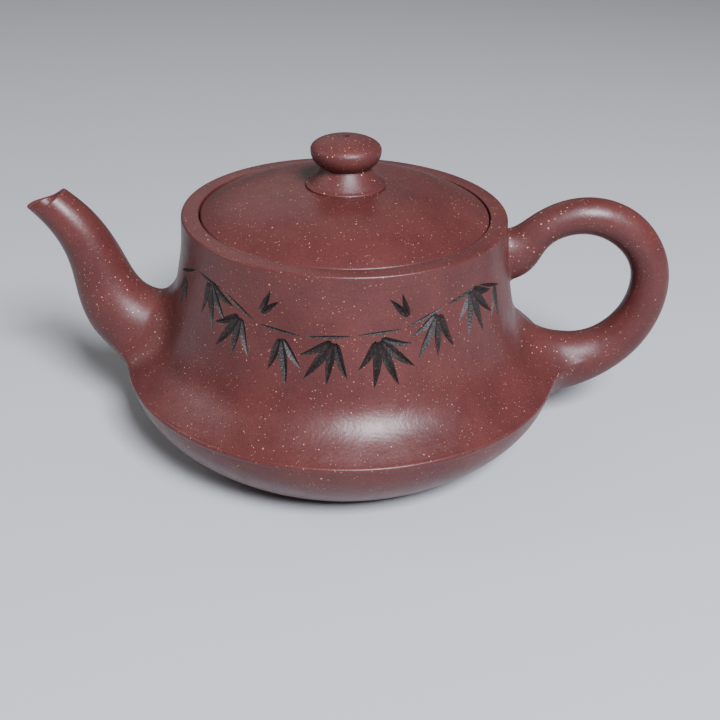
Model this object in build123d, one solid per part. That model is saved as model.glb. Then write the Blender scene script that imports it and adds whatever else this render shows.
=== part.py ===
from build123d import *
import os

# Unglazed clay teapot with a flush lid. Millimetres, +Z up, origin at the centre
# of the flat base. The spout points to -X and the handle to +X.

# ---- Pot wall ----
rim_radius = 42.0
rim_height = 62.2
wall_points = [(43.1, 49.8), (45.7, 37.4), (49.6, 28.3)]
crease_radius = 58.7
crease_height = 20.9
crease_round = 0.8
bowl_point = (53.6, 10.0)
base_radius = 42.0
base_edge_round = 1.2
wall_thickness = 3.0
floor_thickness = 3.0

# ---- Mouth and lid ----
mouth_ring_thickness = 3.3
mouth_radius = 37.55
mouth_edge_round = 0.6
seat_inner_radius = 33.0
seat_thickness = 2.9
lid_radius = 37.25
lid_edge_drop = 0.4
lid_dome_rise = 7.0
lid_dome_power = 3.4
lid_thickness = 3.0
lid_edge_round = 0.5
seat_clearance = 0.15
lid_cove = 2.0
flange_radius = 32.6
flange_thickness = 2.8
flange_depth = 7.0
flange_edge = 0.6

# ---- Knob ----
pedestal_foot_radius = 10.3
pedestal_radius = 9.4
pedestal_foot_height = 0.9
pedestal_foot_edge = 0.4
neck_radius = 6.4
neck_above_rim = 11.6
waist_share = 0.55
knob_radius = 9.0
knob_middle_above_rim = 15.9
knob_top_above_rim = 19.3
knob_crown_flatness = 0.75
vent_radius = 0.8

# ---- Spout: centre line in the XZ plane, and the outer radius at each point ----
spout_line = [
    (-44.0, 25.6, 11.2),
    (-52.0, 26.2, 10.7),
    (-57.6, 28.8, 10.2),
    (-61.5, 33.2, 9.3),
    (-63.9, 38.6, 8.2),
    (-65.6, 44.6, 7.25),
    (-67.8, 50.6, 6.5),
    (-71.4, 56.6, 5.8),
    (-75.4, 61.0, 5.2),
    (-80.2, 65.4, 4.8),
]
spout_root_clay = 3.0
spout_tip_clay = 1.1

# ---- Spout mouth: the concave cut, from the low outer lip to the raised back lip ----
mouth_cut = [(-86.0, 60.0), (-82.2, 61.1), (-77.6, 62.0), (-74.6, 63.8), (-71.0, 68.4)]

# ---- Clay pressed round the joints of the spout and the handle's foot ----
spout_collar = [(-61.6, 32.8, 8.4), (-57.6, 27.2, 10.9), (-53.4, 24.8, 12.4), (-47.0, 24.0, 14.6)]
foot_collar = [
    (62.5, 19.7, 7.2, 7.2),
    (57.5, 19.2, 9.0, 10.4),
    (53.0, 19.6, 9.9, 13.0),
    (47.0, 20.4, 11.4, 15.6),
]

# ---- Strainer dome at the spout root ----
strainer_radius = 9.5
strainer_thickness = 1.8
strainer_hole_radius = 1.1
strainer_rings = [(0.0, 1), (22.0, 6), (44.0, 11)]
strainer_x = -47.2
strainer_height = 26.6

# ---- Handle: centre line in the XZ plane, half thickness in that plane, half width in Y ----
handle_line = [
    (40.0, 50.4, 7.4, 5.8),
    (45.0, 51.8, 6.9, 5.5),
    (48.4, 54.8, 5.2, 5.0),
    (51.6, 58.0, 4.5, 4.8),
    (55.9, 60.6, 4.5, 4.8),
    (61.7, 62.0, 4.7, 4.9),
    (68.0, 61.3, 4.9, 5.0),
    (73.8, 58.4, 5.0, 5.0),
    (78.4, 53.7, 4.9, 5.0),
    (81.2, 47.8, 4.9, 5.0),
    (81.8, 41.2, 5.1, 5.1),
    (80.3, 34.4, 5.4, 5.3),
    (76.9, 28.3, 5.9, 5.7),
    (72.0, 23.6, 6.5, 6.2),
    (65.4, 20.3, 7.5, 7.2),
    (58.0, 18.9, 8.8, 8.6),
    (50.0, 18.6, 9.8, 10.0),
]

# ---- Worked out from the sizes above ----
seat_top = rim_height - mouth_ring_thickness
lid_underside = seat_top + seat_clearance
lid_edge_top = rim_height - lid_edge_drop
flange_inner_radius = flange_radius - flange_thickness
neck_height = rim_height + neck_above_rim
hollow_corner_radius = crease_radius - 1.35 * wall_thickness
full_reach = 120.0


def point(radius, height):
    """A point in the XZ plane, where every outline is drawn."""
    return Vector(radius, 0, height)


def turned(edges):
    """The solid that a closed outline makes when it turns once about the pot's axis."""
    return revolve(make_face(edges), Axis.Z)


def outline(points):
    """A closed outline with straight sides."""
    return Polyline(*points, close=True).edges()


def slab(low, high):
    """A wide disc between two heights, for cutting one piece out of a form."""
    return Pos(0, 0, (low + high) / 2) * Cylinder(full_reach, high - low)


def axis_hole(radius):
    """A tall round hole on the pot's axis."""
    return Cylinder(radius, 2 * full_reach)


def round_outer_edge(solid, height, size):
    """Rounds the widest round edge at one height."""
    rings = solid.edges().filter_by(GeomType.CIRCLE)
    level = [ring for ring in rings if abs(ring.center().Z - height) < 0.01]
    widest = max(level, key=lambda ring: ring.radius)
    return fillet(widest, size)


def inner_side(curve, thickness):
    """The clay's inner face: points one thickness in from an outer curve that runs upward."""
    steps = 8
    points = []
    for step in range(steps + 1):
        place = curve @ (step / steps)
        along = curve % (step / steps)
        points.append(place + Vector(-along.Z, 0, along.X) * thickness)
    return points


def bowl_curve():
    """The bowl's side, from the base edge up to the underside of the crease."""
    start = point(base_radius, 0)
    end = point(crease_radius - 0.45 * crease_round, crease_height - crease_round)
    return Spline(start, point(*bowl_point), end, tangents=[(0.82, 0, 0.57), (0.16, 0, 0.99)])


def wall_curve():
    """The wall's concave side, from the top of the crease up to the rim."""
    start = point(crease_radius - 0.95 * crease_round, crease_height + crease_round)
    points = [point(*place) for place in reversed(wall_points)]
    end = point(rim_radius, rim_height)
    return Spline(start, *points, end, tangents=[(-0.86, 0, 0.50), (-0.05, 0, 1.0)])


def pot_form():
    """The outside shape of the whole pot, solid."""
    bowl = bowl_curve()
    wall = wall_curve()
    crease = ThreePointArc(bowl @ 1, point(crease_radius, crease_height), wall @ 0)
    top = Polyline(wall @ 1, point(0, rim_height), point(0, 0), bowl @ 0)
    return turned([*bowl.edges(), *crease.edges(), *wall.edges(), *top.edges()])


def pot_hollow():
    """The space inside the clay, from the floor up past the rim."""
    side = [place for place in inner_side(bowl_curve(), wall_thickness) if place.Z > floor_thickness + 1]
    upper = [place for place in inner_side(wall_curve(), wall_thickness) if place.Z > crease_height]
    corner = point(hollow_corner_radius, crease_height - crease_round)
    floor_edge = point(base_radius - crease_round, floor_thickness)
    curve = Spline(floor_edge, *side[:-1], corner, *upper[1:])
    over = point(0, full_reach)
    close = Polyline(curve @ 1, over + Vector((curve @ 1).X), over, point(0, floor_thickness), floor_edge)
    return turned([*curve.edges(), *close.edges()])


def follow(stations, section):
    """A closed solid through one section at each station, square to the line they follow."""
    places = [point(station[0], station[1]) for station in stations]
    line = Spline(*places)
    faces = []
    for place, station in zip(places, stations):
        along = line % line.param_at_point(place)
        square = Plane(origin=place, x_dir=(0, 1, 0), z_dir=along)
        faces.append(square * section(station))
    return loft(faces)


def spout_skin(station):
    """The spout's round outside at one station."""
    return Circle(station[2])


def spout_bore():
    """The channel through the spout, run on into the pot and out past the lip."""
    last = len(spout_line) - 1
    channel = []
    for index, (x, z, radius) in enumerate(spout_line):
        clay = spout_root_clay + (spout_tip_clay - spout_root_clay) * index / last
        channel.append((x, z, radius - clay))
    return follow(channel, spout_skin)


def mouth_cutter():
    """The space taken off the spout's end by the concave mouth cut."""
    places = [point(x, z) for x, z in mouth_cut]
    lip = Spline(*places)
    over = [point(places[-1].X, full_reach), point(places[0].X, full_reach)]
    sky = Polyline(places[-1], *over, places[0])
    return extrude(make_face([*lip.edges(), *sky.edges()]), rim_radius, both=True, dir=(0, 1, 0))


def make_spout(form, spout_solid, bore):
    """The spout's tapering tube, ending on the wall and cut to its mouth."""
    return spout_solid - form - bore - mouth_cutter()


def make_strainer(hollow):
    """A thin clay dome with drilled holes, luted inside the wall over the spout hole."""
    dome = Sphere(strainer_radius) - Sphere(strainer_radius - strainer_thickness)
    for tilt, count in strainer_rings:
        for number in range(count):
            aim = Rot(X=360 * number / count) * Rot(Y=90 - tilt)
            dome = dome - aim * Pos(0, 0, strainer_radius) * Cylinder(strainer_hole_radius, strainer_radius)
    return (Pos(strainer_x, 0, strainer_height) * dome) & hollow


def handle_section(station):
    """The handle's rolled clay at one station, a little wider than it is thick."""
    return Ellipse(station[3], station[2])


def make_spout_collar(form, spout_solid):
    """The clay pressed and smoothed round the spout where it meets the wall."""
    return follow(spout_collar, spout_skin) - form - spout_solid


def make_foot_collar(form, handle_solid):
    """The clay pressed and smoothed round the handle's foot."""
    return follow(foot_collar, handle_section) - form - handle_solid


def make_base_disc(form):
    """The flat floor slab that the pot stands on, with its outer edge softened."""
    return round_outer_edge(form & slab(0, floor_thickness), 0, base_edge_round)


def make_mouth_ring(form):
    """The flat ring round the mouth, with its outer edge softened."""
    ring = form & slab(seat_top, rim_height)
    return round_outer_edge(ring, rim_height, mouth_edge_round) - axis_hole(mouth_radius)


def make_lid_seat(hollow):
    """The ledge inside the mouth that the lid rests on."""
    return (hollow & slab(seat_top - seat_thickness, seat_top)) - axis_hole(seat_inner_radius)


def dome_height(radius):
    """The lid's outer surface: nearly level in the middle, falling away at the shoulder."""
    return lid_edge_top + lid_dome_rise * (1 - (radius / lid_radius) ** lid_dome_power)


def dome_curve(radii, drop):
    """The dome's curve through the given radii, lowered by a drop."""
    return Spline(*[point(radius, dome_height(radius) - drop) for radius in radii])


def make_lid_dome():
    """The domed lid slab, drilled for the vent."""
    top = dome_curve([lid_radius - lid_edge_round, 34.0, 29.5, 23.0, 14.0, 0.0], 0)
    ceiling = dome_curve([0.0, 10.0, 18.0, 24.0, flange_inner_radius - lid_cove], lid_thickness)
    under = Polyline(
        ceiling @ 1,
        point(flange_inner_radius, (ceiling @ 1).Z - lid_cove),
        point(flange_inner_radius, lid_underside),
        point(lid_radius, lid_underside),
        point(lid_radius, lid_edge_top - lid_edge_round),
        top @ 0,
    )
    middle = Line(top @ 1, ceiling @ 0)
    profile = [*top.edges(), *middle.edges(), *ceiling.edges(), *under.edges()]
    return turned(profile) - axis_hole(vent_radius)


def make_lid_flange():
    """The ring under the lid that drops into the mouth and keeps the lid from sliding."""
    low = lid_underside - flange_depth
    profile = outline(
        [
            point(flange_inner_radius, low),
            point(flange_radius - flange_edge, low),
            point(flange_radius, low + flange_edge),
            point(flange_radius, lid_underside),
            point(flange_inner_radius, lid_underside),
        ]
    )
    return turned(profile)


def make_pedestal():
    """The knob's flared foot, from a small step on the lid up to the neck."""
    step_top = dome_height(pedestal_foot_radius) + pedestal_foot_height
    foot = point(pedestal_radius, step_top)
    neck = point(neck_radius, neck_height)
    waist_radius = foot.X + waist_share * (neck.X - foot.X)
    waist_height = neck.Z + waist_share * (foot.Z - neck.Z)
    flare = Spline(foot, point(waist_radius, waist_height), neck)
    rest = Polyline(
        flare @ 1,
        point(0, neck_height),
        point(0, rim_height),
        point(pedestal_foot_radius, rim_height),
        point(pedestal_foot_radius, step_top - pedestal_foot_edge),
        point(pedestal_foot_radius - pedestal_foot_edge, step_top),
        flare @ 0,
    )
    return turned([*flare.edges(), *rest.edges()]) - under_lid_surface() - axis_hole(vent_radius)


def under_lid_surface():
    """Everything under the lid's outer surface within the knob's reach."""
    top = dome_curve([0.0, 6.0, 10.0, 16.0], 0)
    rest = Polyline(top @ 1, point((top @ 1).X, 0), point(0, 0), top @ 0)
    return turned([*top.edges(), *rest.edges()])


def make_knob():
    """The flattened ball on the pedestal, drilled for the vent."""
    middle = point(knob_radius, rim_height + knob_middle_above_rim)
    top = point(0, rim_height + knob_top_above_rim)
    under = Spline(point(neck_radius, neck_height), middle, tangents=[(0.7, 0, 0.5), (0, 0, 1)])
    over = Spline(middle, top, tangents=[(0, 0, 1), (-1, 0, 0)], tangent_scalars=[knob_crown_flatness, 1])
    rest = Polyline(top, point(0, neck_height), under @ 0)
    return turned([*under.edges(), *over.edges(), *rest.edges()]) - axis_hole(vent_radius)


form = pot_form()
hollow = pot_hollow()
bore = spout_bore()
clay = form - hollow
spout_solid = follow(spout_line, spout_skin)
handle_solid = follow(handle_line, handle_section)

pieces = {
    "base_disc": make_base_disc(form),
    "lower_bowl": (clay & slab(floor_thickness, crease_height)) - bore,
    "upper_wall": (clay & slab(crease_height, seat_top)) - bore,
    "mouth_ring": make_mouth_ring(form),
    "lid_seat": make_lid_seat(hollow),
    "spout": make_spout(form, spout_solid, bore),
    "spout_collar": make_spout_collar(form, spout_solid),
    "spout_strainer": make_strainer(hollow),
    "handle": handle_solid - form,
    "handle_foot_collar": make_foot_collar(form, handle_solid),
    "lid_dome": make_lid_dome(),
    "lid_flange": make_lid_flange(),
    "knob_pedestal": make_pedestal(),
    "knob": make_knob(),
}

os.makedirs("parts", exist_ok=True)
for name, piece in pieces.items():
    export_step(piece, f"parts/{name}.step")
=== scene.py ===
import math

import bmesh
import bpy
import numpy as np
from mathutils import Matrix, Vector
from mathutils.bvhtree import BVHTree


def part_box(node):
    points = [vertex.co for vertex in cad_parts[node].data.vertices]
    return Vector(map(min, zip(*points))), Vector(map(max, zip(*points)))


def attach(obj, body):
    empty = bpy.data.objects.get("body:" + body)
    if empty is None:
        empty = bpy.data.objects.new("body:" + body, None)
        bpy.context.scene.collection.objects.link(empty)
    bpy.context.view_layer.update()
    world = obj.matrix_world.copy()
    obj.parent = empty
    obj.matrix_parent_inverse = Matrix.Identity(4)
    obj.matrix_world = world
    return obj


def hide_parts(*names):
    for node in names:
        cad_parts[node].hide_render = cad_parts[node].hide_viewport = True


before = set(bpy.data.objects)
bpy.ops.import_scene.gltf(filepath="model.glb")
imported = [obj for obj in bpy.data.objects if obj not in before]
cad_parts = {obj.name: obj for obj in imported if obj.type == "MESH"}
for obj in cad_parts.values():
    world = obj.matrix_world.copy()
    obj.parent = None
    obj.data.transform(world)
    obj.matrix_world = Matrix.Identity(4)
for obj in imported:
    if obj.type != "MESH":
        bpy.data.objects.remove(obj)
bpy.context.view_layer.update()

bl_info = {
    "name": "Clay Teapot",
    "version": (1, 0, 0),
    "blender": (4, 5, 0),
    "location": "View3D > Sidebar > Teapot",
    "description": "Builds an unglazed clay teapot round its CAD frame",
    "category": "Object",
}

# One CAD unit is a metre. The pot's own sizes are written in millimetres, times MM.
MM = 0.001
CAD_SHAPES = {
    name: BVHTree.FromPolygons(
        [vert.co for vert in node.data.vertices], [face.vertices for face in node.data.polygons]
    )
    for name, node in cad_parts.items()
}
BOXES = {name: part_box(name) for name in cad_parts}
FAR = 200 * MM
# Points closer than this are one point.
WELD = 0.001 * MM
# How far a reading stays from the ends of a CAD node, where its side turns into a flat face.
NEAR_END = 0.01 * MM
# The half plane that turned outlines are read in: a little off the front, where only the wall stands.
FRONT = Vector((0.12, -0.9928, 0.0))

# The spout's centre line: x, height, half thickness and half width in millimetres, root to tip.
SPOUT_LINE = [
    (-44.0, 25.6, 11.2, 11.2),
    (-52.0, 26.2, 10.7, 10.7),
    (-57.6, 28.8, 10.2, 10.2),
    (-61.5, 33.2, 9.3, 9.3),
    (-63.9, 38.6, 8.2, 8.2),
    (-65.6, 44.6, 7.25, 7.25),
    (-67.8, 50.6, 6.5, 6.5),
    (-71.4, 56.6, 5.8, 5.8),
    (-75.4, 61.0, 5.2, 5.2),
    (-80.2, 65.4, 4.8, 4.8),
]
# The concave cut that ends the spout: x and height in millimetres, low outer lip to raised back lip.
MOUTH_CUT = [(-86.0, 60.0), (-82.2, 61.1), (-77.6, 62.0), (-75.0, 63.5), (-73.2, 64.9), (-71.0, 65.4)]

# The handle's centre line: x, height, half thickness and half width in millimetres, heel to foot.
HANDLE_LINE = [
    (40.0, 50.4, 7.4, 5.8),
    (45.0, 51.8, 6.9, 5.5),
    (48.4, 54.8, 5.2, 5.0),
    (51.6, 58.0, 4.5, 4.8),
    (55.9, 60.6, 4.5, 4.8),
    (61.7, 62.0, 4.7, 4.9),
    (68.0, 61.3, 4.9, 5.0),
    (73.8, 58.4, 5.0, 5.0),
    (78.4, 53.7, 4.9, 5.0),
    (81.2, 47.8, 4.9, 5.0),
    (81.8, 41.2, 5.1, 5.1),
    (80.3, 34.4, 5.4, 5.3),
    (76.9, 28.3, 5.9, 5.7),
    (72.0, 23.6, 6.5, 6.2),
    (65.4, 20.3, 7.5, 7.2),
    (58.0, 18.9, 8.8, 8.6),
    (50.0, 18.6, 9.8, 10.0),
]


def linear(code):
    """The linear colour of an sRGB hex code."""
    channels = [int(code[start:start + 2], 16) / 255 for start in (1, 3, 5)]
    return tuple(c / 12.92 if c <= 0.04045 else ((c + 0.055) / 1.055) ** 2.4 for c in channels)


# ---- Settings ----


class ClaySettings(bpy.types.PropertyGroup):
    """Colours of the clay and of the stain in the carving."""

    body: bpy.props.FloatVectorProperty(
        name="Body", description="Burnished clay at its middle tone",
        subtype="COLOR", default=linear("#4f2725")
    )
    deep: bpy.props.FloatVectorProperty(
        name="Deep", description="Clay where the fire left it darker",
        subtype="COLOR", default=linear("#472120")
    )
    warm: bpy.props.FloatVectorProperty(
        name="Warm", description="Clay where it fired redder",
        subtype="COLOR", default=linear("#5a2d27")
    )
    grain: bpy.props.FloatVectorProperty(
        name="Grain", description="Pale mineral grains",
        subtype="COLOR", default=linear("#bd9172")
    )
    stain: bpy.props.FloatVectorProperty(
        name="Stain", description="Dark stain rubbed into the carving",
        subtype="COLOR", default=linear("#17110f")
    )
    inside: bpy.props.FloatVectorProperty(
        name="Inside", description="Scraped clay inside the pot",
        subtype="COLOR", default=linear("#583530")
    )


class ShapeSettings(bpy.types.PropertyGroup):
    """Sizes that the hand finishing adds to the CAD shape."""

    spout_blend: bpy.props.FloatProperty(
        name="Spout blend", description="How far the spout's root is smoothed onto the wall",
        unit="LENGTH", default=8.5 * MM,
    )
    foot_blend: bpy.props.FloatProperty(
        name="Foot blend", description="How far the handle's foot is smoothed onto the wall",
        unit="LENGTH", default=10.0 * MM,
    )
    heel_blend: bpy.props.FloatProperty(
        name="Heel blend", description="How far the handle's heel is smoothed onto the wall",
        unit="LENGTH", default=1.0 * MM,
    )
    lip_round: bpy.props.FloatProperty(
        name="Lip round", description="Rounding of the spout's lip", unit="LENGTH", default=0.52 * MM
    )
    groove_depth: bpy.props.FloatProperty(
        name="Groove depth", description="Deepest cut of the carving", unit="LENGTH", default=0.75 * MM
    )


# ---- Reading the frame ----


def radius_at(node, height, inner=False):
    """The outer or inner radius of a CAD node's turned side at one height."""
    level = Vector((0, 0, height))
    start, way = (level, FRONT) if inner else (level + FRONT * FAR, -FRONT)
    place = CAD_SHAPES[node].ray_cast(start, way)[0]
    if place is None:
        raise RuntimeError(f"{node} has no side at height {height:.4f}")
    return math.hypot(place.x, place.y)


def height_at(node, radius, below=False):
    """The height of a CAD node's top, or of its underside, at one radius."""
    over = FRONT * radius + Vector((0, 0, -FAR if below else FAR))
    place = CAD_SHAPES[node].ray_cast(over, Vector((0, 0, 1 if below else -1)))[0]
    if place is None:
        raise RuntimeError(f"{node} has no surface at radius {radius:.4f}")
    return place.z


def spread(low, high, count):
    """Evenly spaced values from low to high."""
    return [low + (high - low) * step / (count - 1) for step in range(count)]


def eased(low, high, count):
    """Values from low to high that crowd towards both ends."""
    angles = [math.pi * step / (count - 1) for step in range(count)]
    return [low + (high - low) * (1 - math.cos(angle)) / 2 for angle in angles]


def side_of(node, heights, inner=False):
    """Outline points on a node's side at the given heights."""
    return [(radius_at(node, height, inner), height) for height in heights]


# ---- Curves ----


def smooth_curve(points, count):
    """Evenly spaced points on the cubic curve through the given ones.
    Length is measured on the first two values, and any further values follow along."""
    given = np.array(points, float)
    gaps = np.linalg.norm(np.diff(given[:, :2], axis=0), axis=1)
    marks = np.concatenate([[0.0], np.cumsum(gaps)])
    last = len(given) - 1
    system = np.eye(last + 1)
    target = np.zeros_like(given)
    for i in range(1, last):
        system[i, i - 1:i + 2] = gaps[i - 1], 2 * (gaps[i - 1] + gaps[i]), gaps[i]
        target[i] = 6 * ((given[i + 1] - given[i]) / gaps[i] - (given[i] - given[i - 1]) / gaps[i - 1])
    bends = np.linalg.solve(system, target)
    curve = []
    for mark in np.linspace(0.0, marks[-1], count):
        i = min(int(np.searchsorted(marks, mark, side="right")) - 1, last - 1)
        back = (marks[i + 1] - mark) / gaps[i]
        ahead = 1 - back
        straight = back * given[i] + ahead * given[i + 1]
        bend = (back ** 3 - back) * bends[i] + (ahead ** 3 - ahead) * bends[i + 1]
        curve.append(straight + bend * gaps[i] ** 2 / 6)
    return np.array(curve)


def at_share(line, share):
    """The values of a dense line at a share of its length, from 0 to 1."""
    place = min(max(share, 0.0), 1.0) * (len(line) - 1)
    low = min(int(place), len(line) - 2)
    return line[low] + (line[low + 1] - line[low]) * (place - low)


def limb_line(stations):
    """A dense centre line in metres through stations given in millimetres."""
    return smooth_curve(np.array(stations) * MM, 600)


# ---- Modelling ----


def select_only(piece):
    """Makes one object the only selected and the active one."""
    bpy.ops.object.select_all(action="DESELECT")
    piece.select_set(True)
    bpy.context.view_layer.objects.active = piece


def new_ring(name, points, fill):
    """A ring of edges through the points, left in edit mode with all of it selected."""
    bpy.ops.object.select_all(action="DESELECT")
    bpy.ops.mesh.primitive_circle_add(vertices=len(points), fill_type=fill)
    piece = bpy.context.object
    piece.name = piece.data.name = name
    bpy.ops.object.mode_set(mode="EDIT")
    mesh = bmesh.from_edit_mesh(piece.data)
    mesh.verts.ensure_lookup_table()
    for vert, place in zip(mesh.verts, points):
        vert.co = place
    bpy.ops.mesh.select_all(action="SELECT")
    return piece


def tidy_mesh():
    """Closes seams and poles, drops loose edges and turns the faces outwards, in edit mode."""
    bpy.ops.mesh.select_all(action="SELECT")
    bpy.ops.mesh.remove_doubles(threshold=WELD)
    bpy.ops.mesh.delete_loose(use_verts=True, use_edges=True, use_faces=False)
    bpy.ops.mesh.select_all(action="SELECT")
    bpy.ops.mesh.normals_make_consistent(inside=False)


def turned(name, outline, steps):
    """A closed outline of radius and height, spun once about the pot's axis."""
    points = [Vector((radius, 0, height)) for radius, height in outline]
    piece = new_ring(name, points, "NOTHING")
    bpy.ops.mesh.spin(steps=steps, angle=2 * math.pi, center=(0, 0, 0), axis=(0, 0, 1))
    tidy_mesh()
    bpy.ops.object.mode_set(mode="OBJECT")
    return piece


def drawn_out(name, rings, loop=False):
    """A skin made by extruding one ring of points to the next. A loop joins the last to the first;
    otherwise both ends are closed."""
    piece = new_ring(name, rings[0], "NOTHING" if loop else "NGON")
    count = len(rings[0])
    current = list(range(count))
    for ring in rings[1:]:
        bpy.ops.mesh.extrude_region()
        mesh = bmesh.from_edit_mesh(piece.data)
        mesh.verts.ensure_lookup_table()
        following = []
        for index in current:
            old = mesh.verts[index]
            following.append(next(e.other_vert(old) for e in old.link_edges if e.other_vert(old).select))
        mesh.verts.index_update()
        for vert, place in zip(following, ring):
            vert.co = place
        current = [vert.index for vert in following]
    if loop:
        select_where(piece, lambda vert: vert.is_boundary)
        bpy.ops.mesh.bridge_edge_loops()
    tidy_mesh()
    bpy.ops.object.mode_set(mode="OBJECT")
    return piece


def select_where(piece, test):
    """In edit mode, selects the edges whose two ends both pass the test."""
    bpy.ops.mesh.select_all(action="DESELECT")
    bpy.ops.mesh.select_mode(type="EDGE")
    mesh = bmesh.from_edit_mesh(piece.data)
    for edge in mesh.edges:
        edge.select = all(test(vert) for vert in edge.verts)
    mesh.select_flush_mode()
    bmesh.update_edit_mesh(piece.data)


def round_circle(piece, radius, height, size, segments=5):
    """Rounds the edge that runs round a turned piece at one radius and height."""
    near = 0.05 * MM

    def on_circle(vert):
        off_radius = abs(math.hypot(vert.co.x, vert.co.y) - radius)
        return off_radius < near and abs(vert.co.z - height) < near

    select_only(piece)
    bpy.ops.object.mode_set(mode="EDIT")
    select_where(piece, on_circle)
    bpy.ops.mesh.bevel(offset=size, segments=segments, affect="EDGES", clamp_overlap=True)
    bpy.ops.mesh.select_mode(type="VERT")
    bpy.ops.object.mode_set(mode="OBJECT")


def carve(piece, cutter):
    """Takes the cutter out of the piece. The cut faces keep the cutter's material."""
    select_only(piece)
    cut = piece.modifiers.new("carving", "BOOLEAN")
    cut.operation = "DIFFERENCE"
    cut.solver = "EXACT"
    cut.use_self = True
    cut.material_mode = "TRANSFER"
    cut.object = cutter
    bpy.ops.object.modifier_apply(modifier=cut.name)
    bpy.data.objects.remove(cutter)


def merged_copy(node):
    """A CAD node's shape as a new mesh with its loose triangles merged."""
    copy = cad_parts[node].copy()
    copy.data = copy.data.copy()
    copy.parent = None
    for key in list(copy.keys()):
        del copy[key]
    bpy.context.scene.collection.objects.link(copy)
    copy.name = copy.data.name = node + "_piece"
    select_only(copy)
    bpy.ops.object.mode_set(mode="EDIT")
    bpy.ops.mesh.select_all(action="SELECT")
    bpy.ops.mesh.remove_doubles(threshold=WELD)
    bpy.ops.object.mode_set(mode="OBJECT")
    return copy


def paint(piece, outside, inside=None, is_inside=None):
    """Gives a piece its outside material and, where the test says so, the inside one."""
    piece.data.materials.append(outside)
    if inside is None:
        return
    piece.data.materials.append(inside)
    for face in piece.data.polygons:
        if is_inside(face):
            face.material_index = 1


def finish_piece(piece, body, slot, *nodes, angle=35):
    """Smooths a piece and hands it to the frame in place of its CAD nodes."""
    select_only(piece)
    bpy.ops.object.shade_smooth_by_angle(angle=math.radians(angle))
    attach(piece, body)
    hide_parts(*nodes)


def faces_axis(face):
    """True for a face that looks towards the pot's axis, or up from the floor."""
    return face.normal.x * face.center.x + face.normal.y * face.center.y < 0


# ---- Limbs: the spout and the handle ----


# Points round a limb, rings in the smoothed root, and halvings that find where a limb meets something.
TURNS = 96
BLEND_STEPS = 14
HALVINGS = 26
# How deep the root's hidden edge lies in the wall, and how far its last visible ring dips under it.
ROOT_DEPTH = 1.3 * MM
ROOT_DIP = 0.012 * MM


def body_radius(height):
    """The pot's outer radius at a height, or zero above and below the pot."""
    for node in ("base_disc", "lower_bowl", "upper_wall", "mouth_ring"):
        low, high = BOXES[node]
        if low.z < height < high.z:
            return radius_at(node, height)
    return 0.0


def limb_skin(line, share, turn, clay=0.0, ridge=0.0):
    """A point on a limb's surface: a share of the way along it and a turn round it.
    clay is how far under the surface the point lies. A ridge flattens the oval's faces and draws its
    flanks out to a soft edge."""
    step = 0.004
    x, z, thick, wide = at_share(line, share)
    ahead = at_share(line, share + step) - at_share(line, share - step)
    run = Vector((ahead[0], 0, ahead[1])).normalized()
    outward = run.cross(Vector((0, 1, 0)))
    cosine, sine = math.cos(turn), math.sin(turn)
    sideways = math.copysign(abs(cosine) ** (1 - ridge / 2), cosine) * (wide - clay)
    upwards = math.copysign(abs(sine) ** (1 + ridge), sine) * (thick - clay)
    return Vector((x, 0, z)) + Vector((0, 1, 0)) * sideways + outward * upwards


def crossing(is_inside, inside, outside):
    """The last share inside and the first one outside, where a test along a limb stops being true."""
    for _ in range(HALVINGS):
        middle = (inside + outside) / 2
        if is_inside(middle):
            inside = middle
        else:
            outside = middle
    return inside, outside


def meeting(skin, turn, inside, outside):
    """The share of a limb's length at which its surface comes out of the pot."""
    def in_the_pot(share):
        place = skin(share, turn)
        return math.hypot(place.x, place.y) <= body_radius(place.z)

    return crossing(in_the_pot, inside, outside)[1]


def walk_out(wall, start, centre, reach):
    """Steps along the wall straight away from a limb's middle, each with the wall's normal."""
    steps = []
    place, heading = start, start - centre
    for _ in range(BLEND_STEPS + 1):
        _, near, normal, _ = wall.closest_point_on_mesh(place)
        steps.append((near, normal))
        heading = (heading - normal * heading.dot(normal)).normalized()
        place = near + heading * (reach / BLEND_STEPS)
    return steps


def smoothed_root(wall, skin, length, inside, outside, reach):
    """Rings of points, from under the wall's skin out to the limb's own surface, that smooth its root
    onto the wall. Also gives the share at which the limb's own surface takes over, for each turn."""
    away = 1 if outside > inside else -1
    lines, starts = [], []
    for number in range(TURNS):
        turn = 2 * math.pi * number / TURNS
        meet = meeting(skin, turn, inside, outside)
        centre = (skin(meet, turn) + skin(meet, turn + math.pi)) / 2
        walked = walk_out(wall, skin(meet, turn), centre, reach)
        far_place, far_normal = walked[-1]
        line = [far_place - far_normal * ROOT_DEPTH]
        for step in range(BLEND_STEPS, -1, -1):
            share = step / BLEND_STEPS
            on_limb = skin(meet + away * (1 - share) * reach / length, turn)
            on_wall, normal = walked[step]
            place = on_limb.lerp(on_wall, share * share * (3 - 2 * share))
            line.append(place - normal * (ROOT_DIP if step == BLEND_STEPS else 0.0))
        lines.append(line)
        starts.append(meet + away * reach / length)
    return [list(ring) for ring in zip(*lines)], starts


def limb_length(line):
    """The length of a dense centre line."""
    return float(np.linalg.norm(np.diff(line[:, :2], axis=0), axis=1).sum())


def corner(before, middle, after, steps=5):
    """Points round a softened corner."""
    places = []
    for step in range(steps + 1):
        share = step / steps
        places.append(before.lerp(middle, share).lerp(middle.lerp(after, share), share))
    return places


# ---- The carved bamboo spray ----


PANEL_RADIUS = 44 * MM


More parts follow.
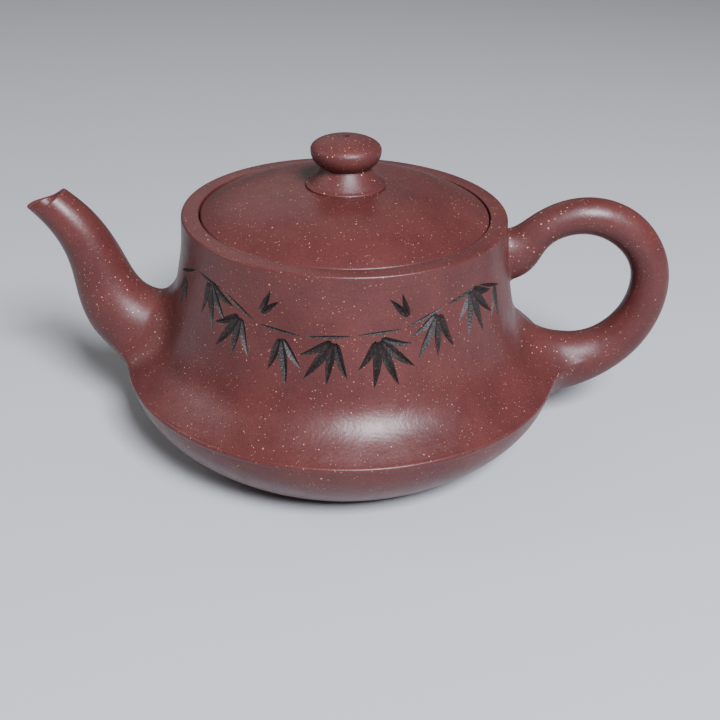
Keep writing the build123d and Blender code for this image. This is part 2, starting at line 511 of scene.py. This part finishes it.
def on_panel(across, height):
    """A point on the wall and its outward, sideways and upward directions.
    across runs round the wall from the front, to the right as seen from outside."""
    angle = across / PANEL_RADIUS
    radius = radius_at("upper_wall", height)
    step = 0.5 * MM
    rise = radius_at("upper_wall", height + step) - radius_at("upper_wall", height - step)
    slope = rise / (2 * step)
    spoke = Vector((math.sin(angle), -math.cos(angle), 0))
    sideways = Vector((math.cos(angle), math.sin(angle), 0))
    upward = (Vector((0, 0, 1)) + spoke * slope).normalized()
    outward = sideways.cross(upward)
    return spoke * radius + Vector((0, 0, height)), outward, sideways, upward


def knife_cut(across, height, aim, length, width, bend, fullness, depth_limit):
    """The wedge that one knife stroke takes out of the wall, as rings of three points.
    aim is its direction in degrees, 0 to the right and 90 up; bend is how far it turns on the way."""
    steps = 14
    rise = 0.4 * MM
    rings = []
    for number in range(steps + 1):
        share = number / steps
        heading = math.radians(aim + bend * (share - 0.5))
        place, outward, sideways, upward = on_panel(across, height)
        along = sideways * math.cos(heading) + upward * math.sin(heading)
        side = outward.cross(along)
        half = max(width / 2 * math.sin(math.pi * share ** fullness) ** 0.75, 0.05 * MM)
        depth = min(half, depth_limit)
        top = half * (1 + rise / depth)
        rings.append([place + side * top + outward * rise, place - side * top + outward * rise,
                      place - outward * depth])
        across += math.cos(heading) * length / steps
        height += math.sin(heading) * length / steps
    return rings


def leaf_spray(across, height, lean, size, count, fan=27):
    """Bamboo leaves that hang from one joint of the twig, the middle ones longest."""
    middle = (count - 1) / 2
    gap = 0.9 * MM
    leaves = []
    for number in range(count):
        off = number - middle
        length = size * (1 - 0.16 * abs(off)) * (1.0 if number % 2 else 0.9)
        aim = lean + fan * off
        start_across = across + gap * math.cos(math.radians(aim))
        start_height = height + gap * math.sin(math.radians(aim))
        leaves.append((start_across, start_height, aim, length, 0.17 * length + 0.45 * MM, 14 * off))
    return leaves


# ---- Materials ----


def add(tree, kind, settings, inputs):
    """Adds a shader node with its settings, and sets or links its inputs by name or number."""
    node = tree.nodes.new(kind)
    for name, value in settings.items():
        setattr(node, name, value)
    for name, value in inputs.items():
        if isinstance(value, bpy.types.NodeSocket):
            tree.links.new(value, node.inputs[name])
        else:
            node.inputs[name].default_value = value
    return node


def new_material(name, roughness, specular):
    """An empty procedural material: its tree, its shader, and the object's place in millimetres."""
    material = bpy.data.materials.new(name)
    material.use_nodes = True
    tree = material.node_tree
    shader = tree.nodes["Principled BSDF"]
    shader.inputs["Roughness"].default_value = roughness
    shader.inputs["Specular IOR Level"].default_value = specular
    place = add(tree, "ShaderNodeTexCoord", {}, {}).outputs["Object"]
    scaled = add(tree, "ShaderNodeMapping", {}, {"Vector": place, "Scale": (1000, 1000, 1000)})
    return material, tree, shader, scaled.outputs["Vector"]


def rgba(colour):
    """A colour as the four numbers a socket takes."""
    return (*colour[:3], 1.0)


def grains(tree, place, spacing, radius, share):
    """A mask of round grains, from their spacing and radius in millimetres and the share of places
    that hold one, and a random number for each grain."""
    cells = add(tree, "ShaderNodeTexVoronoi", {}, {"Vector": place, "Scale": 1 / spacing})
    size = radius / spacing
    disc = add(tree, "ShaderNodeMapRange", {"interpolation_type": "SMOOTHSTEP"},
               {"Value": cells.outputs["Distance"], "From Min": size, "From Max": 0.55 * size})
    parts = add(tree, "ShaderNodeSeparateColor", {}, {"Color": cells.outputs["Color"]})
    chosen = add(tree, "ShaderNodeMath", {"operation": "GREATER_THAN"},
                 {0: parts.outputs["Red"], 1: 1 - share})
    mask = add(tree, "ShaderNodeMath", {"operation": "MULTIPLY"},
               {0: disc.outputs[0], 1: chosen.outputs[0]})
    return mask.outputs[0], parts.outputs["Green"]


def root_mask(tree, place, roots):
    """Where the clay was worked less smoothly: close to where a limb joins the pot."""
    nearest = None
    for root in roots:
        gap = add(tree, "ShaderNodeVectorMath", {"operation": "DISTANCE"},
                  {0: place, 1: root}).outputs["Value"]
        if nearest is not None:
            gap = add(tree, "ShaderNodeMath", {"operation": "MINIMUM"}, {0: gap, 1: nearest}).outputs[0]
        nearest = gap
    return add(tree, "ShaderNodeMapRange", {"interpolation_type": "SMOOTHSTEP"},
               {"Value": nearest, "From Min": 24.0, "From Max": 11.0}).outputs[0]


def burnished_clay(name, clay, roots, coarse=0.0):
    """Purple-brown zisha stoneware, fired unglazed after rubbing with a horn tool. It gives the eye a
    satin sheen over a fine pear skin, cloudy purple and red-brown tones, and pale mineral grains."""
    material, tree, shader, place = new_material(name, 0.42, 0.36)
    cloud = add(tree, "ShaderNodeTexNoise", {}, {"Vector": place, "Scale": 1 / 16, "Detail": 4})
    cloudy = add(tree, "ShaderNodeMapRange", {"interpolation_type": "SMOOTHSTEP"},
                 {"Value": cloud.outputs["Fac"], "From Min": 0.3, "From Max": 0.66})
    colour = add(tree, "ShaderNodeMix", {"data_type": "RGBA"},
                 {0: cloudy.outputs[0], 6: rgba(clay.deep), 7: rgba(clay.body)}).outputs[2]
    patch = add(tree, "ShaderNodeTexNoise", {"noise_dimensions": "4D"},
                {"Vector": place, "W": 3.0, "Scale": 1 / 7, "Detail": 5})
    warm = add(tree, "ShaderNodeMapRange", {}, {"Value": patch.outputs["Fac"], "From Min": 0.42,
                                                "From Max": 0.75, "To Max": 0.4})
    colour = add(tree, "ShaderNodeMix", {"data_type": "RGBA"},
                 {0: warm.outputs[0], 6: colour, 7: rgba(clay.warm)}).outputs[2]
    # Zisha is a coarse clay: its body shows light and dark particles under half a millimetre across.
    sand = add(tree, "ShaderNodeTexNoise", {},
               {"Vector": place, "Scale": 1 / 0.45, "Detail": 3, "Roughness": 0.7})
    sandy = add(tree, "ShaderNodeMapRange", {}, {"Value": sand.outputs["Fac"], "From Min": 0.3,
                                                 "From Max": 0.7, "To Min": 0.8, "To Max": 1.2})
    colour = add(tree, "ShaderNodeMix", {"data_type": "RGBA", "blend_type": "MULTIPLY"},
                 {0: 1.0, 6: colour, 7: sandy.outputs[0]}).outputs[2]
    near_root = root_mask(tree, place, roots)
    rough = add(tree, "ShaderNodeTexNoise", {}, {"Vector": place, "Scale": 1 / 3.5, "Detail": 5})
    roughness = add(tree, "ShaderNodeMapRange", {},
                    {"Value": rough.outputs["Fac"], "From Min": 0.3, "From Max": 0.7,
                     "To Min": 0.34, "To Max": 0.4}).outputs[0]
    roughness = add(tree, "ShaderNodeMath", {"operation": "MULTIPLY_ADD"},
                    {0: near_root, 1: 0.1, 2: roughness}).outputs[0]
    # Three sizes of pale grain: dust, the common grain, and the odd large one.
    height = None
    sizes = (0.75, 0.11, 0.5), (1.2, 0.17, 0.42 + coarse), (3.2, 0.28, 0.34 + coarse)
    for spacing, radius, share in sizes:
        mask, lot = grains(tree, place, spacing, radius, share)
        strength = add(tree, "ShaderNodeMapRange", {}, {"Value": lot, "To Min": 0.25, "To Max": 0.95})
        shown = add(tree, "ShaderNodeMath", {"operation": "MULTIPLY"}, {0: mask, 1: strength.outputs[0]})
        colour = add(tree, "ShaderNodeMix", {"data_type": "RGBA"},
                     {0: shown.outputs[0], 6: colour, 7: rgba(clay.grain)}).outputs[2]
        height = mask if height is None else add(tree, "ShaderNodeMath", {"operation": "MAXIMUM"},
                                                 {0: mask, 1: height}).outputs[0]
    # A few grains are dark.
    mask = grains(tree, place, 1.7, 0.24, 0.3)[0]
    colour = add(tree, "ShaderNodeMix", {"data_type": "RGBA", "blend_type": "MULTIPLY"},
                 {0: mask, 6: colour, 7: (0.45, 0.42, 0.42, 1)}).outputs[2]
    # Coarse grains stand out where the spout and the handle were joined and rubbed less.
    mask = grains(tree, place, 1.5, 0.24, 0.4)[0]
    mask = add(tree, "ShaderNodeMath", {"operation": "MULTIPLY"}, {0: mask, 1: near_root}).outputs[0]
    colour = add(tree, "ShaderNodeMix", {"data_type": "RGBA"},
                 {0: mask, 6: colour, 7: rgba(clay.grain)}).outputs[2]
    hand = add(tree, "ShaderNodeTexNoise", {}, {"Vector": place, "Scale": 1 / 11, "Detail": 2})
    wave = add(tree, "ShaderNodeBump", {},
               {"Height": hand.outputs["Fac"], "Strength": 1.0, "Distance": 0.35 * MM})
    skin = add(tree, "ShaderNodeTexNoise", {}, {"Vector": place, "Scale": 1 / 0.8, "Detail": 3})
    pear = add(tree, "ShaderNodeBump", {}, {"Height": skin.outputs["Fac"], "Strength": 1.0,
                                            "Distance": 0.045 * MM, "Normal": wave.outputs[0]})
    speck = add(tree, "ShaderNodeBump", {}, {"Height": height, "Strength": 1.0, "Distance": 0.02 * MM,
                                             "Normal": pear.outputs[0]})
    tree.links.new(colour, shader.inputs["Base Color"])
    tree.links.new(roughness, shader.inputs["Roughness"])
    tree.links.new(speck.outputs[0], shader.inputs["Normal"])
    return material


def scraped_clay(clay):
    """The same stoneware inside the pot, levelled with a scraper and never rubbed: matt and even, with
    faint level drag lines."""
    material, tree, shader, place = new_material("scraped_zisha_stoneware", 0.78, 0.3)
    lines = add(tree, "ShaderNodeMapping", {}, {"Vector": place, "Scale": (0.05, 0.05, 1.6)})
    drag = add(tree, "ShaderNodeTexNoise", {}, {"Vector": lines.outputs[0], "Scale": 1.0, "Detail": 4})
    sand = add(tree, "ShaderNodeTexNoise", {}, {"Vector": place, "Scale": 1 / 0.6, "Detail": 3})
    blend = add(tree, "ShaderNodeMix", {"data_type": "RGBA"},
                {0: sand.outputs["Fac"], 6: rgba(clay.deep), 7: rgba(clay.inside)})
    mask = grains(tree, place, 1.8, 0.25, 0.35)[0]
    colour = add(tree, "ShaderNodeMix", {"data_type": "RGBA"},
                 {0: mask, 6: blend.outputs[2], 7: rgba(clay.grain)}).outputs[2]
    scraped = add(tree, "ShaderNodeBump", {},
                  {"Height": drag.outputs["Fac"], "Strength": 1.0, "Distance": 0.15 * MM})
    gritty = add(tree, "ShaderNodeBump", {}, {"Height": sand.outputs["Fac"], "Strength": 1.0,
                                              "Distance": 0.08 * MM, "Normal": scraped.outputs[0]})
    tree.links.new(colour, shader.inputs["Base Color"])
    tree.links.new(gritty.outputs[0], shader.inputs["Normal"])
    return material


def carving_stain(clay):
    """Dark stain rubbed into knife cuts: almost black and dull, on a rough floor. It is thin in places,
    where the clay's colour shows, and these patches are also painted glints on the cut's facets.
    """
    material, tree, shader, place = new_material("stained_knife_cut", 0.55, 0.45)
    # Patches of clay colour in the stain: partly worn stain, partly painted glints where light would
    # catch the cut's facets.
    wear_and_glint = add(tree, "ShaderNodeTexNoise", {}, {"Vector": place, "Scale": 1 / 0.7, "Detail": 4})
    worn_and_glinting = add(tree, "ShaderNodeMapRange", {"interpolation_type": "SMOOTHSTEP"},
               {"Value": wear_and_glint.outputs["Fac"], "From Min": 0.5, "From Max": 0.75, "To Max": 0.55})
    colour = add(tree, "ShaderNodeMix", {"data_type": "RGBA"},
                 {0: worn_and_glinting.outputs[0], 6: rgba(clay.stain), 7: rgba(clay.body)}).outputs[2]
    chips = add(tree, "ShaderNodeTexNoise", {}, {"Vector": place, "Scale": 1 / 0.5, "Detail": 2})
    cut = add(tree, "ShaderNodeBump", {},
              {"Height": chips.outputs["Fac"], "Strength": 1.0, "Distance": 0.2 * MM})
    tree.links.new(colour, shader.inputs["Base Color"])
    tree.links.new(cut.outputs[0], shader.inputs["Normal"])
    return material


def material_of(name):
    """A finished material, made when it is first asked for."""
    clay = bpy.context.scene.teapot_clay
    # In millimetres: the spout's root, the handle's foot and heel, and the knob's neck.
    roots = [(-57.0, 0.0, 28.0), (56.0, 0.0, 21.0), (43.0, 0.0, 54.0)]
    knob_root = [(0.0, 0.0, 68.5)]
    makers = {
        "body": lambda: burnished_clay("burnished_zisha_body", clay, roots),
        "knob": lambda: burnished_clay("burnished_zisha_knob", clay, knob_root, coarse=0.15),
        "inside": lambda: scraped_clay(clay),
        "stain": lambda: carving_stain(clay),
    }
    key = "teapot_" + name
    if key not in bpy.context.scene:
        bpy.context.scene[key] = makers[name]().name
    return bpy.data.materials[bpy.context.scene[key]]


# ---- Operators: one for each group of pieces ----


# Steps of the full turn when a piece is spun.
WALL_STEPS = 420
LID_STEPS = 360
KNOB_STEPS = 160
# The clay left round the spout's channel, at its root and at its lip.
ROOT_CLAY = 3.0 * MM
TIP_CLAY = 1.1 * MM

class TEAPOT_OT_wall(bpy.types.Operator):
    """Build the creased bowl and the concave wall, pierced for the spout and carved with bamboo"""

    bl_idname = "teapot.wall"
    bl_label = "Bowl and wall"

    def outline(self):
        """The closed outline of the clay: up the outside, over the crease, and down the inside."""
        floor = BOXES["base_disc"][1].z
        crease = BOXES["lower_bowl"][1].z
        seat = BOXES["upper_wall"][1].z
        gap, tight = NEAR_END, 1.4 * MM
        bowl = smooth_curve(side_of("lower_bowl", spread(floor + gap, crease - tight, 7)), 24)
        under = side_of("lower_bowl", spread(crease - tight, crease - gap, 8))[1:]
        over = side_of("upper_wall", spread(crease + gap, crease + tight, 10))
        wall = smooth_curve(side_of("upper_wall", spread(crease + tight, seat - gap, 9)), 58)[1:]
        inner = side_of("upper_wall", spread(seat - gap, crease + gap, 16), inner=True)
        lower = side_of("lower_bowl", spread(crease - gap, floor + gap, 10), inner=True)
        return [*bowl, *under, *over, *wall, *inner, *lower]

    def bore(self):
        """A round bar through the wall where the spout's channel starts."""
        line = limb_line(SPOUT_LINE)
        count = 48
        turns = [2 * math.pi * number / count for number in range(count)]
        rings = [[limb_skin(line, share, turn, clay=ROOT_CLAY) for turn in turns]
                 for share in spread(0.0, 0.3, 12)]
        bar = drawn_out("bore_cutter", rings)
        bar.data.materials.append(material_of("inside"))
        return bar

    def knife_work(self, depth):
        """All the carving's wedges as one object, for cutting it in one go."""
        # Place round the wall, height, lean in degrees, length, and number of leaves.
        sprays = [
            (-49, 51, -105, 9, 3), (-37, 54.5, -62, 12.5, 4), (-25, 49.5, -112, 12, 4),
            (-14, 47, -80, 11, 3), (-1, 47.3, -112, 12, 4), (9, 47.5, -68, 13, 5),
            (25, 51.5, -108, 12, 4), (36, 54.5, -74, 13, 5), (47, 52, -100, 9, 2),
            (-20, 50.5, 52, 7, 2), (17, 51, 120, 7, 2),
        ]
        twig_points = [(-54, 50.5), (-36, 55.2), (-20, 48.5), (0, 48), (20, 50), (36, 54.6), (50, 50.5)]
        leaf_fullness, twig_fullness = 0.62, 1.0
        strokes = []
        for across, height, lean, size, count in sprays:
            leaves = leaf_spray(across * MM, height * MM, lean, size * MM, count)
            strokes += [(*leaf, leaf_fullness) for leaf in leaves]
        twig = smooth_curve(np.array(twig_points) * MM, 10)
        for start, end in zip(twig[:-1], twig[1:]):
            run = end - start
            aim = math.degrees(math.atan2(run[1], run[0]))
            length = 0.9 * float(np.linalg.norm(run))
            strokes.append((*(start + run * 0.04), aim, length, 0.85 * MM, 4, twig_fullness))
        wedges = [drawn_out(f"knife_cut_{number}", knife_cut(*stroke, depth))
                  for number, stroke in enumerate(strokes)]
        bpy.ops.object.select_all(action="DESELECT")
        for wedge in wedges:
            wedge.select_set(True)
        bpy.context.view_layer.objects.active = wedges[0]
        bpy.ops.object.join()
        wedges[0].data.materials.append(material_of("stain"))
        return wedges[0]

    def execute(self, context):
        wall = turned("bowl_and_wall", self.outline(), WALL_STEPS)
        paint(wall, material_of("body"), material_of("inside"), faces_axis)
        carve(wall, self.bore())
        carve(wall, self.knife_work(context.scene.teapot_shape.groove_depth))
        finish_piece(wall, "pot", "body_clay", "lower_bowl", "upper_wall")
        return {"FINISHED"}


class TEAPOT_OT_floor_and_ring(bpy.types.Operator):
    """Build the base with its shallow hollow, and the flat ring round the mouth"""

    bl_idname = "teapot.floor_and_ring"
    bl_label = "Base and mouth ring"

    def execute(self, context):
        high = BOXES["base_disc"][1]
        under = [(0, 0.7), (33, 0.7), (34.6, 0.6), (36, 0.25), (37.2, 0.04), (38.4, 0)]
        edge = side_of("base_disc", eased(0.02 * MM, high.z - NEAR_END, 16))
        outline = [(radius * MM, height * MM) for radius, height in under] + edge + [(0, high.z)]
        base = turned("base", outline, WALL_STEPS)
        paint(base, material_of("body"), material_of("inside"),
              lambda face: face.center.z > high.z - NEAR_END)
        finish_piece(base, "pot", "body_clay", "base_disc")

        low, high = BOXES["mouth_ring"]
        inner = radius_at("mouth_ring", (low.z + high.z) / 2, inner=True)
        side = side_of("mouth_ring", spread(low.z + NEAR_END, high.z - 0.7 * MM, 5))
        rim = side[-1][0] + (side[-1][0] - side[-2][0])
        outline = [(inner, low.z), *side, (rim, high.z), (inner, high.z)]
        ring = turned("mouth_ring_piece", outline, WALL_STEPS)
        round_circle(ring, rim, high.z, 0.55 * MM)
        round_circle(ring, inner, high.z, 0.35 * MM)
        paint(ring, material_of("body"), material_of("inside"),
              lambda face: face.center.z < low.z + 0.05 * MM)
        finish_piece(ring, "pot", "body_clay", "mouth_ring")
        return {"FINISHED"}


class TEAPOT_OT_spout(bpy.types.Operator):
    """Draw the spout out from the wall, hollow, with its root smoothed on and its mouth cut concave"""

    bl_idname = "teapot.spout"
    bl_label = "Spout"

    def execute(self, context):
        shape = context.scene.teapot_shape
        line = limb_line(SPOUT_LINE)
        length = limb_length(line)
        cut = smooth_curve(np.array(MOUTH_CUT) * MM, 200)

        def outer(share, turn):
            return limb_skin(line, share, turn)

        def inner(share, turn):
            return limb_skin(line, share, turn, clay=ROOT_CLAY + (TIP_CLAY - ROOT_CLAY) * share)

        def end_of(skin, turn):
            """The share of the spout's length at which a surface reaches the mouth's cut."""
            def below_cut(share):
                place = skin(share, turn)
                return place.z <= float(np.interp(place.x, cut[:, 0], cut[:, 1]))

            return crossing(below_cut, 0.75, 1.0)[0]

        wall = bpy.data.objects["bowl_and_wall"]
        root, starts = smoothed_root(wall, outer, length, 0.0, 0.6, shape.spout_blend)
        soft = shape.lip_round
        back = soft / length
        lines = []
        for number in range(TURNS):
            turn = 2 * math.pi * number / TURNS
            tip, bore_tip = end_of(outer, turn), end_of(inner, turn)
            outside = [outer(share, turn) for share in spread(starts[number], tip - back, 70)[1:]]
            bore_root = meeting(inner, turn, 0.0, 0.6) - 1.0 * MM / length
            inside = [inner(share, turn) for share in spread(bore_tip - back, bore_root, 40)]
            outer_edge, inner_edge = outer(tip, turn), inner(bore_tip, turn)
            across = (inner_edge - outer_edge).normalized() * soft
            lip = [*corner(outside[-1], outer_edge, outer_edge + across)[1:],
                   *corner(inner_edge - across, inner_edge, inside[0])]
            lines.append([*outside, *lip, *inside[1:]])
        rings = root + [list(ring) for ring in zip(*lines)]
        spout = drawn_out("spout_piece", rings, loop=True)
        paint(spout, material_of("body"))
        finish_piece(spout, "pot", "body_clay", "spout", "spout_collar", angle=60)
        return {"FINISHED"}


class TEAPOT_OT_handle(bpy.types.Operator):
    """Draw the ring handle out from its heel at the rim to its foot on the crease"""

    bl_idname = "teapot.handle"
    bl_label = "Handle"

    def execute(self, context):
        shape = context.scene.teapot_shape
        wall = bpy.data.objects["bowl_and_wall"]
        line = limb_line(HANDLE_LINE)
        length = limb_length(line)

        def skin(share, turn):
            return limb_skin(line, share, turn, ridge=0.22)

        heel, starts = smoothed_root(wall, skin, length, 0.0, 0.3, shape.heel_blend)
        foot, ends = smoothed_root(wall, skin, length, 1.0, 0.75, shape.foot_blend)
        lines = []
        for number in range(TURNS):
            turn = 2 * math.pi * number / TURNS
            shares = spread(starts[number], ends[number], 130)[1:-1]
            lines.append([skin(share, turn) for share in shares])
        rings = heel + [list(ring) for ring in zip(*lines)] + foot[::-1]
        handle = drawn_out("handle_piece", rings)
        paint(handle, material_of("body"))
        finish_piece(handle, "pot", "body_clay", "handle", "handle_foot_collar", angle=60)
        return {"FINISHED"}


class TEAPOT_OT_lid(bpy.types.Operator):
    """Build the flush domed lid"""

    bl_idname = "teapot.lid"
    bl_label = "Lid"

    def execute(self, context):
        low, high = BOXES["lid_dome"]
        edge_radius = high.x
        vent = radius_at("lid_dome", high.z - 1.0 * MM, inner=True)
        off_vent = 0.05 * MM
        radii = spread(vent + off_vent, edge_radius - 0.7 * MM, 12)
        top = smooth_curve([(radius, height_at("lid_dome", radius)) for radius in radii], 60)
        run = top[-1] - top[-2]
        edge = top[-1] + run * (edge_radius - top[-1][0]) / run[0]
        flange_inner = radius_at("lid_flange", BOXES["lid_flange"][0].z + 1.0 * MM, inner=True)
        radii = spread(flange_inner - 2.2 * MM, vent + off_vent, 14)
        ceiling = [(radius, height_at("lid_dome", radius, below=True)) for radius in radii]
        drop = (flange_inner, ceiling[0][1] - 2.0 * MM)
        outline = [*top, tuple(edge), (edge_radius, low.z), (flange_inner, low.z), drop, *ceiling]
        lid = turned("lid", outline, LID_STEPS)
        round_circle(lid, edge_radius, edge[1], 0.5 * MM, segments=6)
        paint(lid, material_of("body"), material_of("inside"), lambda face: face.normal.z < -0.1)
        finish_piece(lid, "lid", "lid_clay", "lid_dome")
        return {"FINISHED"}


class TEAPOT_OT_knob(bpy.types.Operator):
    """Build the knob and its flared pedestal, both drilled for the vent"""

    bl_idname = "teapot.knob"
    bl_label = "Knob"

    def execute(self, context):
        for node, name, count in (("knob_pedestal", "pedestal_piece", 44), ("knob", "knob_piece", 60)):
            low, high = BOXES[node]
            vent = radius_at(node, (low.z + high.z) / 2, inner=True)
            side = side_of(node, eased(low.z + NEAR_END, high.z - NEAR_END, count))
            bore = [(vent, high.z - 2 * NEAR_END), (vent, low.z + 2 * NEAR_END)]
            piece = turned(name, [*side, *bore], KNOB_STEPS)
            paint(piece, material_of("knob"))
            finish_piece(piece, "lid", "knob_clay", node, angle=40)
        return {"FINISHED"}


class TEAPOT_OT_inner_parts(bpy.types.Operator):
    """Finish the ledge in the mouth, the ring under the lid and the strainer"""

    bl_idname = "teapot.inner_parts"
    bl_label = "Seat, flange and strainer"

    def execute(self, context):
        for node, body in (("lid_seat", "pot"), ("spout_strainer", "pot"), ("lid_flange", "lid")):
            piece = merged_copy(node)
            piece.data.materials.clear()
            paint(piece, material_of("inside"))
            finish_piece(piece, body, "inner_clay", node)
        return {"FINISHED"}


class TEAPOT_OT_stage(bpy.types.Operator):
    """Set the pale floor, the soft studio lights and the camera"""

    bl_idname = "teapot.stage"
    bl_label = "Stage"

    def lamp(self, name, place, target, size, power, colour):
        """A soft square lamp turned towards a point."""
        bpy.ops.object.light_add(type="AREA", location=place)
        light = bpy.context.object
        light.name = name
        light.rotation_euler = (Vector(target) - Vector(place)).to_track_quat("-Z", "Y").to_euler()
        light.data.size = size
        light.data.energy = power
        light.data.color = linear(colour)

    def execute(self, context):
        bpy.ops.object.select_all(action="DESELECT")
        bpy.ops.mesh.primitive_plane_add(size=6.0, location=(0, 0, 0))
        floor = bpy.context.object
        floor.name = "floor"
        pale = bpy.data.materials.new("pale_floor")
        pale.use_nodes = True
        shader = pale.node_tree.nodes["Principled BSDF"]
        shader.inputs["Base Color"].default_value = rgba(linear("#b0b1b3"))
        shader.inputs["Roughness"].default_value = 0.9
        floor.data.materials.append(pale)

        middle = (0.0, 0.0, 0.03)
        self.lamp("key", (0.28, -0.62, 0.72), middle, 0.3, 27.0, "#f2f4ff")
        self.lamp("left", (-0.75, 0.0, 0.55), middle, 0.4, 1.7, "#ffffff")
        self.lamp("back", (-0.2, 0.7, 0.6), middle, 0.6, 0.6, "#ffffff")

        world = context.scene.world or bpy.data.worlds.new("studio")
        context.scene.world = world
        world.use_nodes = True
        sky = world.node_tree.nodes["Background"]
        sky.inputs["Color"].default_value = rgba(linear("#f1f2f6"))
        sky.inputs["Strength"].default_value = 0.17

        bpy.ops.object.camera_add(location=(0.0049, -0.2444, 0.1562))
        camera = bpy.context.object
        camera.name = "camera"
        camera.rotation_mode = "ZYX"
        camera.rotation_euler = (math.radians(60.39), 0, math.radians(1.523))
        camera.data.lens = 50
        camera.data.sensor_width = 36
        camera.data.clip_start = 0.01
        context.scene.camera = camera
        return {"FINISHED"}


OPERATORS = (
    TEAPOT_OT_wall,
    TEAPOT_OT_floor_and_ring,
    TEAPOT_OT_spout,
    TEAPOT_OT_handle,
    TEAPOT_OT_lid,
    TEAPOT_OT_knob,
    TEAPOT_OT_inner_parts,
    TEAPOT_OT_stage,
)


class TEAPOT_PT_panel(bpy.types.Panel):
    """The teapot's settings and its building steps"""

    bl_idname = "TEAPOT_PT_panel"
    bl_label = "Clay Teapot"
    bl_space_type = "VIEW_3D"
    bl_region_type = "UI"
    bl_category = "Teapot"

    def draw(self, context):
        for settings in (context.scene.teapot_clay, context.scene.teapot_shape):
            for name in settings.bl_rna.properties.keys():
                if name not in ("rna_type", "name"):
                    self.layout.prop(settings, name)
        for operator in OPERATORS:
            self.layout.operator(operator.bl_idname)


CLASSES = (ClaySettings, ShapeSettings, *OPERATORS, TEAPOT_PT_panel)


def register():
    for cls in CLASSES:
        bpy.utils.register_class(cls)
    bpy.types.Scene.teapot_clay = bpy.props.PointerProperty(type=ClaySettings)
    bpy.types.Scene.teapot_shape = bpy.props.PointerProperty(type=ShapeSettings)


def unregister():
    del bpy.types.Scene.teapot_shape
    del bpy.types.Scene.teapot_clay
    for cls in reversed(CLASSES):
        bpy.utils.unregister_class(cls)


def main():
    """Builds the whole scene."""
    register()
    bpy.ops.teapot.wall()
    bpy.ops.teapot.floor_and_ring()
    bpy.ops.teapot.spout()
    bpy.ops.teapot.handle()
    bpy.ops.teapot.lid()
    bpy.ops.teapot.knob()
    bpy.ops.teapot.inner_parts()
    bpy.ops.teapot.stage()


if __name__ == "__main__":
    main()
